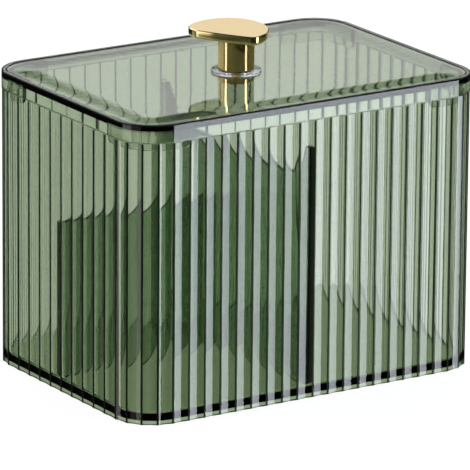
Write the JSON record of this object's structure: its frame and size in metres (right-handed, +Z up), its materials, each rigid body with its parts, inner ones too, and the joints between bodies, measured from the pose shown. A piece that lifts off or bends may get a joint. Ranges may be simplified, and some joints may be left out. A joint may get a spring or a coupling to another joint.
{
  "type": "cotton swab box",
  "caption": "Clear green fluted box with rounded corners, a lift-off lid with a stone-shaped gold knob, and a lift-out divider for swabs and pads.",
  "frame": {"origin": "middle of the base, on the surface that the box stands on", "axes": "+X along the long side, the front with the wide fluted wall faces -Y, +Z up"},
  "size_m": [0.168, 0.119, 0.1431],
  "materials": {
    "green_clear_plastic": "polished, see-through, tinted smoky green",
    "satin_gold": "satin pale gold",
    "polished_gold": "polished gold plate",
    "clear_washer": "clear, smooth",
    "screw_steel": "plain"
  },
  "bodies": {
    "box": {"box_body": "green_clear_plastic"},
    "divider": {"centre_divider": "green_clear_plastic", "cross_divider": "green_clear_plastic"},
    "lid": {"lid": "green_clear_plastic", "knob_stone": "satin_gold", "knob_stem": "polished_gold", "knob_washer": "clear_washer", "knob_nut": "polished_gold", "knob_screw": "screw_steel"}
  },
  "joints": [
    {"name": "lid_lift", "type": "slide", "parent": "box", "child": "lid", "axis": [0, 0, 1], "range_m": [0, 0.06]},
    {"name": "divider_lift", "type": "slide", "parent": "box", "child": "divider", "axis": [0, 0, 1], "range_m": [0, 0.015]}
  ]
}
